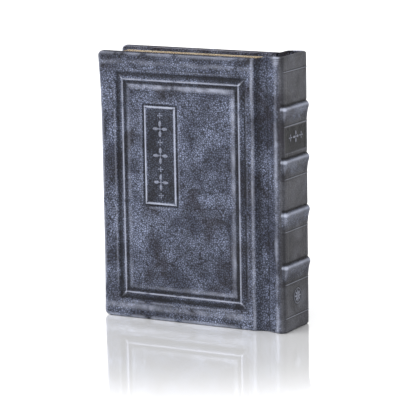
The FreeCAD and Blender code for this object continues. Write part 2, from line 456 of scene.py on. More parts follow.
def applyModifier(piece, kind, **settings):
    bpy.context.view_layer.objects.active = piece
    modifier = piece.modifiers.new(kind.lower(), kind)
    for name, value in settings.items():
        setattr(modifier, name, value)
    bpy.ops.object.modifier_apply(modifier=modifier.name)


def startPiece(piece, name):
    piece.name = name
    piece.data.name = name
    bpy.ops.object.transform_apply(location=True, rotation=True, scale=True)
    return piece


def addCube(name, low, high):
    deselectAll()
    bpy.ops.mesh.primitive_cube_add(size=1, location=(low + high) / 2, scale=high - low)
    return startPiece(bpy.context.object, name)


def edit(piece, domain="VERT"):
    bpy.context.view_layer.objects.active = piece
    bpy.ops.object.mode_set(mode="EDIT")
    bpy.ops.mesh.select_mode(type=domain)
    bpy.ops.mesh.select_all(action="DESELECT")


def leaveEdit():
    bpy.ops.object.mode_set(mode="OBJECT")


def selectWhere(piece, rule, domain="verts"):
    mesh = bmesh.from_edit_mesh(piece.data)
    for item in getattr(mesh, domain):
        item.select_set(bool(rule(item)))
    mesh.select_flush_mode()
    bmesh.update_edit_mesh(piece.data)


def cutAt(places, axis):  # cuts the whole piece along planes across x (0), y (1) or z (2)
    normal = Vector((axis == 0, axis == 1, axis == 2))
    for point in places:
        bpy.ops.mesh.select_all(action="SELECT")
        bpy.ops.mesh.bisect(plane_co=normal * point, plane_no=normal)


cover = {
    "cornerRadius": 3.8,
    "wall": 0.8,
    "innerDepth": 4.3,
    # across the border from the outside in: inset from the outline and depth of the leather
    "edgeRoll": [(0.0, 1.9), (0.45, 0.85), (1.2, 0.25), (2.6, 0.02)],
    "headRoll": [(0.0, 1.9), (0.45, 0.95), (1.3, 0.42), (3.0, 0.14), (5.6, 0.02)],
    # the sunk moulding: inset from the border's inner line and depth
    "borderLine": (12.0, 114.5, 13.5, 176.0),
    "moulding": [
        (-0.8, 0.0), (-0.1, 0.14), (0.35, 1.1), (1.2, 1.15), (3.0, 0.75), (4.6, 0.28), (5.05, 0.1),
        (5.5, 0.16), (6.2, 0.85), (6.9, 1.05), (7.9, 0.78), (9.2, 0.42), (11.2, 0.24), (15.0, 0.18),
    ],
    "labelLine": (32.8, 61.0, 81.6, 154.5),
    "label": [
        (-1.0, 0.2), (0.0, 0.34), (0.45, 0.95), (1.2, 0.95), (1.75, 0.3), (2.15, 0.08), (2.6, 0.14),
        (3.1, 0.3), (3.6, 0.8), (5.2, 0.84),
    ],
    "leatherEnd": 118.0,  # the joint's leather starts here, on the flat of the board
    "tucked": 1.0,  # the board's leather dips this far under the joint's
    # further cuts across and up that keep the mesh even
    "acrossCuts": (5.0, 8.0, 78.0, 88.0, 97.0, 116.4, 120.4),
    "upCuts": (6.0, 9.5, 32.0, 42.0, 52.0, 62.0, 72.0, 163.0, 178.0, 181.5),
    "labelAcrossCuts": (43.0, 50.8, 69.0),
    "labelUpCuts": (95.0, 105.0, 115.0, 125.0, 135.0, 142.0),
    "plainAcrossCuts": (38.0, 48.0, 58.0, 68.0),
    "plainUpCuts": (82.0, 92.0, 102.0, 112.0, 122.0, 132.0, 142.0, 153.0),
    "sideCuts": (2.6, 3.9),  # depths of the cuts round the board's side
    "flare": (0.9, 2.0, 0.6),  # how far the fore-edge leather stands proud, and more at the head and tail
    "waves": ((22, 3.1, 0.10), (7, 8.2, 0.05)),  # size, seed and height of the leather's unevenness
}

# where the cover's leather is painted pale, as wear and as painted highlight, or kept from it: middle,
# width and strength of each place
coverWearAndHighlights = {
    "rim": (-0.2, 1.1, 0.85),
    "ridge": (5.1, 1.2, 0.3),
    "labelRim": (-0.1, 0.7, 0.8),
    "jointStart": (115.8, 117.2, 0.9),
    "mitreHighlight": (0.0, 0.55, 0.3),
    "headTurnHighlight": (182.6, 1.9, 0.075),
    "tailTurnHighlight": (8.6, 2.4, 0.10),
    "crownHighlight": (0.15, 0.10, 0.05),  # strength at the head, at the spine side and elsewhere
    "patches": ((2.5, 4.4, 0.9), (18, 1.4, 0.9)),  # size, seed and strength of its unevenness
}


def edgeDrop(z):
    # depth of the rolled edge at a height, for the leather that carries on past the board
    return np.maximum(stepped(z, cover["edgeRoll"]), stepped(boardHead - z, cover["headRoll"]))


def coverLines(withLabel):
    x0, x1, z0, z1 = cover["borderLine"]
    end = cover["leatherEnd"]
    acrossLines = {end, end + 0.12, end + 0.3, *cover["acrossCuts"]}
    upLines = set(cover["upCuts"])
    for inset, _ in cover["edgeRoll"][1:]:
        acrossLines.add(inset)
        upLines.add(inset)
    for inset, _ in cover["headRoll"][1:]:
        upLines.add(boardHead - inset)
    for inset, _ in cover["moulding"]:
        acrossLines.update((x0 + inset, x1 - inset))
        upLines.update((z0 + inset, z1 - inset))
    if withLabel:
        a0, a1, b0, b1 = cover["labelLine"]
        for inset, _ in cover["label"]:
            acrossLines.update((a0 + inset, a1 - inset))
            upLines.update((b0 + inset, b1 - inset))
    cuts = "label" if withLabel else "plain"
    acrossLines.update(cover[cuts + "AcrossCuts"])
    upLines.update(cover[cuts + "UpCuts"])
    return sorted(acrossLines), sorted(upLines)


def sinkInside(piece, line, steps):
    # each step lowers all of the front that lies inside its rectangle
    x0, x1, z0, z1 = line
    before = steps[0][1]
    slack = 1e-6
    for inset, depth in steps[1:]:
        low, high = place(x0 + inset, 0, z0 + inset), place(x1 - inset, 0, z1 - inset)
        selectWhere(piece, lambda v: v.co.y < frontFace + 1.6 * mm
                    and low.x - slack < v.co.x < high.x + slack and low.z - slack < v.co.z < high.z + slack)
        bpy.ops.transform.translate(value=(0, (depth - before) * mm, 0))
        before = depth


def insetFrom(x, z, line):  # how far inside a rectangle a place is, less than 0 outside
    x0, x1, z0, z1 = line
    return np.minimum.reduce([x - x0, x1 - x, z - z0, z1 - z])


def coverRubAndHighlights(x, z, withLabel):
    # the ridge is painted pale, partly wear and partly painted highlight, and its mitres get a painted
    # highlight line, but not the sharp rim outside them
    inset = insetFrom(x, z, cover["borderLine"])
    middle, width, held = coverWearAndHighlights["rim"]
    keep = 1 - held * bell(inset, middle, width, 4)
    low, high, held = coverWearAndHighlights["jointStart"]
    keep *= 1 - held * smoothStep(x, low, high)
    middle, width, held = coverWearAndHighlights["ridge"]
    keep *= 1 - held * bell(inset, middle, width)
    if withLabel:
        middle, width, held = coverWearAndHighlights["labelRim"]
        keep *= 1 - held * bell(insetFrom(x, z, cover["labelLine"]), middle, width, 4)
    x0, x1, z0, z1 = cover["borderLine"]
    nearX = np.minimum(x - x0, x1 - x)
    nearZ = np.minimum(z - z0, z1 - z)
    middle, width, strength = coverWearAndHighlights["mitreHighlight"]
    mitreHighlight = bell(nearX - nearZ, middle, width) * smoothStep(inset, 0.2, 1.0)
    mitreHighlight *= 1 - smoothStep(inset, 5.0, 5.8)
    # painted highlights on the crown of the panel, strongest at the head, then at the spine side, and on
    # the turn of the border at the head and the tail
    atHead, atSpine, elsewhere = coverWearAndHighlights["crownHighlight"]
    nearHead = (z1 - z < x1 - x) & (z1 - z < x - x0)
    reach = np.where(nearHead, atHead, np.where(x1 - x < x - x0, atSpine, elsewhere))
    crownHighlight = reach * smoothStep(inset, 7.2, 8.8) * (1 - smoothStep(inset, 9.5, 13.5))
    turn = sum(share * bell(z, level, spread)
               for level, spread, share in (coverWearAndHighlights["headTurnHighlight"], coverWearAndHighlights["tailTurnHighlight"]))
    turn *= smoothStep(inset, -14.0, -9.0) * (inset < 0)
    return keep, strength * mitreHighlight + crownHighlight + turn


def makeCover(name, body, withLabel):  # the back cover is made as a front one and turned over at the end
    piece = addCube(name, place(0, 0, 0), place(boardEdge, cover["innerDepth"], boardHead))
    acrossLines, upLines = coverLines(withLabel)
    edit(piece)
    cutAt([place(x, 0, 0).x for x in acrossLines], 0)
    cutAt([z * mm for z in upLines], 2)
    # the border's moulding and the title label on the front
    sinkInside(piece, cover["borderLine"], cover["moulding"])
    if withLabel:
        sinkInside(piece, cover["labelLine"], cover["label"])
    underJoint = place(cover["leatherEnd"] + 0.25, 0, 0).x
    selectWhere(piece, lambda v: v.co.y < frontFace + 1e-5 and v.co.x > underJoint)
    bpy.ops.transform.translate(value=(0, cover["tucked"] * mm, 0))
    leaveEdit()
    # the outer edge rolls back to the board's side
    table = vertexTable(piece)
    x = (table[:, 0] - foreEdge) / mm
    z = table[:, 2] / mm
    front = table[:, 1] < frontFace + 1.6 * mm
    roll = np.maximum(edgeDrop(z), stepped(x, cover["edgeRoll"]))
    table[front, 1] += roll[front] * mm
    storeVertexTable(piece, table)
    edit(piece)
    cutAt([frontFace + depth * mm for depth in cover["sideCuts"]], 1)
    # the middle of the inner face is left open, under the pastedown
    bpy.ops.mesh.select_mode(type="FACE")
    selectWhere(piece, lambda f: f.normal.y > 0.9 and 12 < (f.calc_center_median().x - foreEdge) / mm < 119
                and 14 < f.calc_center_median().z / mm < boardHead - 14, "faces")
    bpy.ops.mesh.delete(type="FACE")
    leaveEdit()
    applyModifier(piece, "SUBSURF", levels=1, render_levels=1)
    roundCorners(piece)
    flareEdge(piece)
    settleCover(piece)
    if not withLabel:
        mirrorToBack(piece)
    table = vertexTable(piece)
    depth = bookThickness / 2 - np.abs(table[:, 1]) / mm
    x = (table[:, 0] - foreEdge) / mm
    z = table[:, 2] / mm
    # painted shade in the sunk places and on the roll of the head
    hollowShade = np.where(depth < 1.7, 0.75 * smoothStep(depth, 0.35, 1.0), 0.35)
    hollowShade *= smoothStep(np.minimum.reduce([x, boardEdge - x - 3, z, boardHead - z]), 4, 8)
    hollowShade = np.maximum(hollowShade, 0.3 * smoothStep(z, 184.6, 186.4) * (depth < 1.5))
    keep, rubAndHighlight = coverRubAndHighlights(x, z, withLabel)
    rubAndHighlight *= np.clip(1 + unevenness(table, coverWearAndHighlights["patches"]), 0.3, 1.9)
    finishLeather(piece, cover["wall"], stainsAndShade=hollowShade, keep=keep, rubAndHighlight=rubAndHighlight)
    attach(piece, body)
    return piece


def roundCorners(piece):
    # the square corners at the fore-edge become round: each is squeezed to a quarter circle
    table = vertexTable(piece)
    radius = cover["cornerRadius"] * mm
    x = foreEdge + radius - table[:, 0]
    top = boardHead * mm - radius
    for z, sign in ((table[:, 2] - top, 1), ((radius - table[:, 2]), -1)):
        inside = (x > 0) & (z > 0)
        largest = np.maximum(x, z)
        length = np.maximum(np.hypot(x, z), 1e-9)
        newX, newZ = x * largest / length, z * largest / length
        table[inside, 0] = foreEdge + radius - newX[inside]
        table[inside, 2] = (top if sign > 0 else radius) + sign * newZ[inside]
    storeVertexTable(piece, table)


def flareEdge(piece):
    # the turned-in leather stands a little proud of the fore-edge and flares at its corners
    table = vertexTable(piece)
    x = (table[:, 0] - foreEdge) / mm
    z = table[:, 2] / mm
    everywhere, atHead, atTail = cover["flare"]
    flare = everywhere + atHead * bell(boardHead - z, 0, 22.0, 1.5) + atTail * bell(z, 0, 18.0, 1.5)
    table[:, 0] -= flare * (1 - smoothStep(x, 0.0, 11.5)) * mm
    storeVertexTable(piece, table)


def slowWave(table, size, seed):
    shift = Vector((seed, seed * 0.7, seed * 1.3))
    return np.array([noise.noise(Vector(point) / size + shift) for point in table])


def unevenness(table, waves):
    return sum(strength * slowWave(table, size * mm, seed) for size, seed, strength in waves)


def settleCover(piece):
    # hand-worked leather is never quite flat: it dips a little here and there
    table = vertexTable(piece)
    front = table[:, 1] < frontFace + 1.5 * mm
    dip = np.maximum(unevenness(table, cover["waves"]), 0)
    across, up = (table[:, 0] - foreEdge) / mm, table[:, 2] / mm
    inner = np.minimum.reduce([across, boardHead - up, up, cover["leatherEnd"] - across])
    table[:, 1] += np.where(front, dip, 0) * smoothStep(inner, 0.5, 4) * mm
    storeVertexTable(piece, table)


def finishLeather(piece, wall, spineShare=0.0, stainsAndShade=None, keep=1.0, rubAndHighlight=0.0):
    writeWearAndPaintedLight(piece, keep, rubAndHighlight)
    writeRestPlace(piece)
    count = len(piece.data.vertices)
    writeFloat(piece, "spineShare", np.full(count, spineShare) if np.isscalar(spineShare) else spineShare)
    # the stain attribute is painted shade in hollows, grooves and creases, with the darker title panel and
    # tooled lines
    writeFloat(piece, "stainsAndShade", np.zeros(count) if stainsAndShade is None else stainsAndShade)
    applyModifier(piece, "SOLIDIFY", thickness=wall * mm, offset=-1, use_even_offset=False)
    deselectAll()
    piece.select_set(True)
    bpy.ops.object.shade_smooth()
    dress(piece, goatskin)


frontCover = makeCover("frontCoverLeather", "front_cover", True)
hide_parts("front_leather")


backCover = makeCover("backCoverLeather", "back_cover", False)
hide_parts("back_leather")
print("cover leather done,", len(frontCover.data.vertices), "and", len(backCover.data.vertices), "points")


spine = {
    "wall": 0.8,
    # the leather in plan, from the flat of the board to the middle of the groove, as x and depth
    "groovePlan": [
        (118.0, 0.0), (118.8, 0.0), (119.5, 0.06), (120.2, 0.22), (120.8, 0.5), (121.3, 0.95),
        (121.75, 1.55), (122.2, 2.15), (122.8, 2.7), (123.6, 3.0), (124.8, 3.12), (126.0, 3.1),
    ],
    "shoulderPlan": [
        (126.0, 3.1), (127.6, 3.05), (129.0, 2.95), (130.0, 2.8), (130.5, 2.85), (131.0, 2.5),
        (132.0, 2.0), (133.4, 1.5), (135.0, 1.05), (136.4, 0.62), (137.4, 0.3), (138.2, 0.06),
        (139.0, 0.04), (140.0, 0.2), (141.2, 0.5), (142.2, 0.95), (142.9, 1.65), (143.25, 2.5),
        (143.4, 3.8), (143.4, 7.0),
    ],
    "spinePlan": [
        7.0, 8.6, 10.0, 11.2, 12.4, 14.0, 16.2, 18.4, 20.8, 23.0, 25.2, 26.8, 28.0, 29.2, 30.6, 32.2,
    ],
    "spineX": 143.4,
    "bands": (158.3, 121.9, 85.3, 48.5),  # the crease at the top of each raised band
    # down from a band's crease: how far the leather stands out
    "bandShape": [
        (-3.0, 0.0), (-1.2, 0.06), (-0.5, -0.1), (-0.1, -0.45), (0.3, -0.4), (0.8, 0.4), (1.5, 1.25),
        (2.4, 1.8), (3.4, 1.9), (4.6, 1.65), (6.4, 1.1), (8.8, 0.55), (11.4, 0.2), (13.3, 0.0),
        (13.8, -0.1), (14.25, 0.24), (14.75, 0.22), (15.2, -0.1), (16.0, 0.0),
    ],
    "fillets": (181.2, 10.2),  # the tooled lines near the head and the tail
    "filletShape": [(-1.3, 0.0), (-0.7, -0.14), (-0.3, 0.2), (0.2, 0.2), (0.6, -0.14), (1.2, 0.0)],
    "titlePanel": (3.4, 35.8, 125.4, 143.0),  # depth and height of the sunk title panel
    "titleSink": 0.28,
    "rollWidth": 1.6,  # how far from the head and the tail the leather turns in
    "headRise": (122.0, 131.0),  # where the joint's leather climbs to the spine's height
    # rows of the mesh besides those of the bands and the tooled lines
    "rows": [
        0.0, 0.4, 1.1, 2.4, 4.0, 6.5, 13.0, 16.0, 20.0, 24.0, 28.0, 31.0, 56.0, 61.0, 66.0, 92.0, 97.0,
        102.0, 124.3, 124.8, 125.3, 125.8, 126.2, 130.0, 134.0, 138.0, 142.2, 142.7, 143.2, 162.0, 166.0,
        170.0, 174.0, 178.0, 185.0, 187.5, 189.0, 190.0, 190.8, 191.5, 192.0,
    ],
    "stampSeat": (19.6, 23.6),  # depth and height of the rosette's middle
}


def profileHeight(z):
    # how far the spine's leather stands out at a height
    total = np.zeros_like(z)
    for crease in spine["bands"]:
        total += stepped(crease - z, spine["bandShape"], left=0, right=0)
    for line in spine["fillets"]:
        total += stepped(line - z, spine["filletShape"], left=0, right=0)
    return total


def spineRows():
    rows = set(spine["rows"])
    for crease in spine["bands"]:
        rows.update(round(crease - down, 3) for down, _ in spine["bandShape"])
    for line in spine["fillets"]:
        rows.update(round(line - down, 3) for down, _ in spine["filletShape"])
    kept = []
    for row in sorted(rows):
        if not kept or row - kept[-1] > 0.16:  # rows closer than this would pinch the mesh
            kept.append(row)
    return kept


def addStrip(name, plan, low, high):
    # a plane stood on edge, then its far edge drawn out along the plan
    deselectAll()
    first, second = place(plan[0][0], plan[0][1], 0), place(plan[1][0], plan[1][1], 0)
    middle = (first + second) / 2
    run = math.hypot(second.x - first.x, second.y - first.y)
    bpy.ops.mesh.primitive_plane_add(
        size=1, location=(middle.x, middle.y, (low + high) / 2 * mm),
        rotation=(math.pi / 2, 0, math.atan2(second.y - first.y, second.x - first.x)))
    piece = bpy.context.object
    piece.scale = (run, (high - low) * mm, 1)
    startPiece(piece, name)
    edit(piece)
    far = second
    for x, depth in plan[2:]:
        target = place(x, depth, 0)
        spot = far.copy()
        selectWhere(piece, lambda v: (v.co.xy - spot.xy).length < 1e-6)
        bpy.ops.mesh.extrude_region_move(TRANSFORM_OT_translate={"value": tuple(target.xy - far.xy) + (0,)})
        far = target
    leaveEdit()
    return piece


def shapeSpine(piece, kind):
    table = vertexTable(piece)
    normals = vertexNormals(piece)
    x = (table[:, 0] - foreEdge) / mm
    depth = (table[:, 1] - frontFace) / mm
    z = table[:, 2] / mm
    if kind != "groove":
        # bands and lines run round the shoulder and die away there
        nearest = np.minimum(depth, bookThickness - depth)
        move = profileHeight(z) * np.where(x < 141.0, 0.0, smoothStep(nearest, 0.35, 2.6))
        inner = np.where(x > 142.5, insetFrom(depth, z, spine["titlePanel"]), -9.0)
        move = move - spine["titleSink"] * smoothStep(inner, -0.3, 0.5)
        move = move + 0.16 * bell(inner, -0.7, 0.45)
        # the leather pulls in towards the book where it turns over the head and the tail
        width = spine["rollWidth"]
        for gap in (spineHead - z, z):
            short = 1 - np.clip(gap / width, 0, 1)
            move = move - width * 0.9 * (1 - np.sqrt(np.clip(1 - short ** 2, 0, 1)))
        table += normals * (move * mm)[:, None]
    if kind != "spine":
        table[:, 1] += edgeDrop(z) * (1 - smoothStep(x, 119.5, 123.0)) * mm
    # the head of the joint's leather climbs from the board's height to the spine's
    climb = spineHead - boardHead
    rise = climb * smoothStep(x, *spine["headRise"])
    if kind == "shoulder":
        table[:, 2] -= (climb - rise) * smoothStep(z, 181, spineHead) * mm
    elif kind == "groove":
        table[:, 2] += rise * smoothStep(z, 181, boardHead) * mm
    storeVertexTable(piece, table)


def makeGroove(name):
    piece = addStrip(name, spine["groovePlan"], 0, boardHead)
    edit(piece)
    rows = {6.0, 9.5, *range(14, 184, 6)}
    rows.update(inset for inset, _ in cover["edgeRoll"][1:])
    rows.update(boardHead - inset for inset, _ in cover["headRoll"][1:])
    cutAt([row * mm for row in sorted(rows)], 2)
    leaveEdit()
    shapeSpine(piece, "groove")
    return piece


def makeBanded(name, plan, kind):  # the shoulder and the spine, which the bands and the tooled lines cross
    piece = addStrip(name, plan, 0, spineHead)
    edit(piece)
    cutAt([row * mm for row in spineRows()[1:-1]], 2)
    leaveEdit()
    shapeSpine(piece, kind)
    return piece


def closeLeather(piece, spineFrom=None):
    applyModifier(piece, "SUBSURF", levels=2, render_levels=2)
    table = vertexTable(piece)
    x = (table[:, 0] - foreEdge) / mm
    z = table[:, 2] / mm
    share = np.zeros(len(table)) if spineFrom is None else smoothStep(x, *spineFrom)
    # the bands keep more of the painted pale, wear and highlight, and take the bluer cover tone; the turn
    # onto the spine keeps little of it
    onBand = sum(smoothStep(line - z, -0.3, 0.8) * (1 - smoothStep(line - z, 9.0, 14.0))
                 for line in spine["bands"])
    onBand = onBand * smoothStep(x, 140.8, 142.0)
    turned = smoothStep(x, 137.0, 139.0) * (1 - smoothStep(x, 143.2, 143.4))
    keep = 0.25 - 0.24 * turned + 0.35 * onBand
    share = share * (1 - 0.7 * onBand)
    finishLeather(piece, spine["wall"], share, jointShade(table), keep=keep, rubAndHighlight=jointRubAndHighlights(table))


def jointShade(table):
    # painted shade in the groove, along the creases and tooled lines of the bands and round the rosette,
    # and the darker panel behind the title
    x = (table[:, 0] - foreEdge) / mm
    depth = (table[:, 1] - frontFace) / mm
    z = table[:, 2] / mm
    groove = 0.55 * bell(x, 123.4, 2.2) + 0.3 * bell(x, 130.4, 0.5)
    inner = np.where(x > 142.5, insetFrom(depth, z, spine["titlePanel"]), -9.0)
    crease = 0.35 * bell(x, 142.6, 0.7)
    for line in spine["bands"]:
        down = line - z
        crease += 0.95 * bell(down, -0.35, 0.95)
        crease += 0.25 * smoothStep(down, 6.0, 12.5) * (down < 13.6)
        crease += 0.5 * bell(down, 15.3, 0.35)
    across, up = spine["stampSeat"]
    away = np.hypot(depth - across, z - up)
    stamp = (0.75 * bell(away, 6.2, 0.45) + 0.5 * bell(away, 4.2, 1.2)) * (x > 142.5)
    return np.clip(groove + smoothStep(inner, 0.0, 0.8) + crease * (x > 141.6) + stamp, 0, 1)


def jointRubAndHighlights(table):
    # painted highlights along the shoulder, along the board's edge and on the crests of the bands, pale
    # wrinkle marks on the head cap and a pale patch near the foot of the spine
    x = (table[:, 0] - foreEdge) / mm
    z = table[:, 2] / mm
    sway = 0.5 * slowWave(table * np.array([0.0, 0.0, 1.0]), 16 * mm, 6.1)
    shoulderLine = 0.115 * bell(x - sway, 137.6, 1.7)
    wrinkle = 0.5 + 0.5 * np.sin(z * 5.1 + slowWave(table, 4 * mm, 2.2) * 6)
    cap = (0.06 + 0.16 * wrinkle) * smoothStep(z, 183, 189.5)
    cap *= smoothStep(x, 132, 137) * (1 - smoothStep(x, 139.5, 142.0))
    boardLine = 0.10 * bell(x - sway, 119.6, 1.1) * (x > 117.9)
    foot = 0.05 * bell(z, 22, 11.0) * smoothStep(x, 141.0, 143.0)
    patchy = np.clip(1 + unevenness(table, ((3, 4.4, 0.5), (16, 9.4, 1.0))), 0.3, 1.8)
    crest = np.zeros_like(z)
    corner = np.zeros_like(z)
    for line in spine["bands"]:
        crest += 0.14 * bell(line - z, 1.9, 0.8) + 0.05 * bell(line - z, 6.0, 3.0)
        corner += 0.3 * bell(line - z, 2.6, 0.9)
    # the corner of each band catches the light where it meets the shoulder
    depth = bookThickness / 2 - np.abs(table[:, 1]) / mm
    corner *= bell(depth, 1.5, 1.2) * (x > 141.0)
    return (shoulderLine + cap + boardLine + foot) * patchy + crest * smoothStep(x, 140.8, 142.0) + corner


grooveJoin = (place(125.0, 1.7, 95), place(121.0, 1.7, 95))
shoulderJoin = (place(141.6, 1.7, 95), place(138.4, 1.7, 95))


def mirroredPoint(point):
    return Vector((point.x, -point.y, point.z))


for side in ("front", "back"):
    groove = makeGroove(side + "GrooveLeather")
    closeLeather(groove)
    shoulder = makeBanded(side + "ShoulderLeather", spine["shoulderPlan"], "shoulder")
    closeLeather(shoulder, spineFrom=(137.5, 141.5))
    ends = [grooveJoin, shoulderJoin]
    if side == "back":
        mirrorToBack(groove)
        mirrorToBack(shoulder)
        for piece in (groove, shoulder):
            for item in piece.data.attributes["restPlace"].data:
                item.vector = (item.vector[0], -item.vector[1], item.vector[2])
        ends = [[mirroredPoint(point) for point in pair] for pair in ends]
    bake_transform(groove)
    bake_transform(shoulder)
    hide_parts(side + "_joint_leather")
    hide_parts(side + "_joint_leather")

spineCover = makeBanded("spineLeather", [(spine["spineX"], depth) for depth in spine["spinePlan"]], "spine")
closeLeather(spineCover, spineFrom=(130, 131))
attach(spineCover, "spine")
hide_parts("spine_leather", "raised_bands")
print("joints and spine done,", len(shoulder.data.vertices), "and", len(spineCover.data.vertices), "points")


ornament = {
    "petalSegments": 16,
    "petalRings": 10,
    # across, up, petals, reach of a petal, its width and height, ring radius, boss radius
    "label": [
        (46.9, 137.0, 4, 5.9, 2.5, 1.1, 0.0, 0.9), (46.9, 118.1, 4, 5.9, 2.5, 1.1, 0.0, 0.9),
        (46.9, 99.2, 4, 5.9, 2.5, 1.1, 0.0, 0.9), (46.9, 127.5, 4, 2.1, 1.1, 0.8, 0.0, 0.45),
        (46.9, 108.6, 4, 2.1, 1.1, 0.8, 0.0, 0.45), (46.9, 146.4, 4, 2.1, 1.1, 0.8, 0.0, 0.45),
        (46.9, 89.8, 4, 2.1, 1.1, 0.8, 0.0, 0.45),
    ],
    "title": [
        (19.6, 135.2, 4, 4.2, 1.9, 0.9, 0.0, 0.75), (11.6, 135.2, 4, 2.6, 1.25, 0.8, 0.0, 0.5),
        (27.6, 135.2, 4, 2.6, 1.25, 0.8, 0.0, 0.5),
    ],
    "rosette": [(*spine["stampSeat"], 8, 4.4, 1.7, 1.0, 5.3, 1.1)],
    "rubAndHighlight": {"label": 0.15, "title": 0.14, "rosette": 0.17},  # how pale the tops of the motifs are painted, partly wear and partly painted highlight
}


def addPetal(reach, width, rise):
    # a flattened ball drawn out from the middle, then pinched at its foot
    deselectAll()
    bpy.ops.mesh.primitive_uv_sphere_add(
        segments=ornament["petalSegments"], ring_count=ornament["petalRings"], radius=0.5,
        location=(0, 0, reach * 0.56 * mm))
    petal = bpy.context.object
    petal.scale = (width * mm, rise * mm, reach * 0.9 * mm)
    bpy.ops.object.transform_apply(location=True, rotation=True, scale=True)
    edit(petal)
    selectWhere(petal, lambda v: v.co.z < reach * 0.38 * mm)
    bpy.ops.transform.resize(value=(0.55, 0.9, 1.0), center_override=(0, 0, reach * 0.3 * mm))
    bpy.ops.mesh.select_all(action="DESELECT")
    selectWhere(petal, lambda v: v.co.z > reach * 0.95 * mm)
    bpy.ops.transform.resize(value=(0.4, 0.8, 1.0), center_override=(0, 0, reach * mm))
    leaveEdit()
    return petal


def addMotif(petals, reach, width, rise, ringRadius, bossRadius):
    # petals round a boss, in a ring if it has one, facing the reader
    first = addPetal(reach, width, rise)
    parts = [first]
    for number in range(1, petals):
        twin = bpy.data.objects.new(first.name, first.data.copy())
        twin.data.transform(Matrix.Rotation(2 * math.pi * number / petals, 4, "Y"))
        bpy.context.scene.collection.objects.link(twin)
        parts.append(twin)
    deselectAll()
    bpy.ops.mesh.primitive_uv_sphere_add(segments=16, ring_count=8, radius=bossRadius * mm)
    boss = bpy.context.object
    boss.scale = (1, 0.6, 1)
    bpy.ops.object.transform_apply(location=True, rotation=True, scale=True)
    parts.append(boss)
    if ringRadius:
        bpy.ops.mesh.primitive_torus_add(
            major_radius=ringRadius * mm, minor_radius=0.32 * mm, major_segments=48, minor_segments=8,
            rotation=(math.pi / 2, 0, 0))
        bpy.ops.object.transform_apply(location=True, rotation=True, scale=True)
        parts.append(bpy.context.object)
    return joinParts(parts)


def makeOrnament(name, kind, floorAt, body, turn=0.0):
    # the motifs are worked on the floor that floorAt gives, and turned to face out of it
    parts = []
    for across, up, petals, reach, width, rise, ringRadius, bossRadius in ornament[kind]:
        motif = addMotif(petals, reach, width, rise, ringRadius, bossRadius)
        motif.data.transform(Matrix.Rotation(turn, 4, "Z"))
        motif.data.transform(Matrix.Translation(floorAt(across, up)))
        parts.append(motif)
    piece = joinParts(parts)
    piece.name = name
    piece.data.name = name
    bpy.ops.object.shade_smooth()
    writeRestPlace(piece)
    # faces that face out are painted pale, partly wear and partly painted highlight, and the sides are
    # painted darker as shade
    facing = vertexNormals(piece) @ np.array([math.sin(turn), -math.cos(turn), 0.0])
    writeFloat(piece, "wearAndPaintedLight", 0.5 + ornament["rubAndHighlight"][kind] * smoothStep(facing, 0.35, 0.95))
    writeFloat(piece, "spineShare", np.full(len(facing), 1.0 if turn else 0.0))
    writeFloat(piece, "stainsAndShade", 0.5 * (1 - smoothStep(facing, 0.0, 0.5)))
    dress(piece, goatskin)
    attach(piece, body)


def labelSpot(across, up):
    return place(across, cover["label"][-1][1], up)


def titleSpot(across, up):
    return place(spine["spineX"] - spine["titleSink"], across, up)


def tailSpot(across, up):
    return place(spine["spineX"], across, up)


makeOrnament("labelOrnament", "label", labelSpot, "front_cover")
makeOrnament("titleOrnament", "title", titleSpot, "spine", turn=math.pi / 2)
makeOrnament("tailRosette", "rosette", tailSpot, "spine", turn=math.pi / 2)
print("ornaments done")


def fibrePaper(name, colour, second, fleck, roughness, depth):
    # rag paper, pressed and sized: soft, cloudy, with short fibres that catch the light
    material = newMaterial(name)
    here = addNode(material, "ShaderNodeTexCoord").outputs["Object"]
    cloud = addNode(material, "ShaderNodeTexNoise", {
        "Vector": here, "Scale": 60.0, "Detail": 4.0,
    }).outputs["Fac"]
    fibre = addNode(material, "ShaderNodeTexNoise", {
        "Vector": here, "Scale": 1 / (fleck * mm), "Detail": 3.0, "Roughness": 0.7, "Distortion": 1.5,
    }).outputs["Fac"]
    mixed = addNode(material, "ShaderNodeMath", {0: cloud, 1: fibre}, operation="MULTIPLY").outputs[0]
    factor = addNode(material, "ShaderNodeMapRange", {
        "Value": mixed, "From Min": 0.18, "From Max": 0.36,
    }).outputs[0]
    tint = addNode(material, "ShaderNodeMix", {0: factor, 6: linear(colour), 7: linear(second)},
                   data_type="RGBA").outputs[2]
    bump = addNode(material, "ShaderNodeBump", {
        "Height": fibre, "Distance": depth * mm, "Strength": 0.5,
    }).outputs[0]
    shader = addNode(material, "ShaderNodeBsdfPrincipled", {
        "Base Color": tint, "Roughness": roughness, "IOR": 1.5, "Normal": bump,
    })
    return finishMaterial(material, shader)


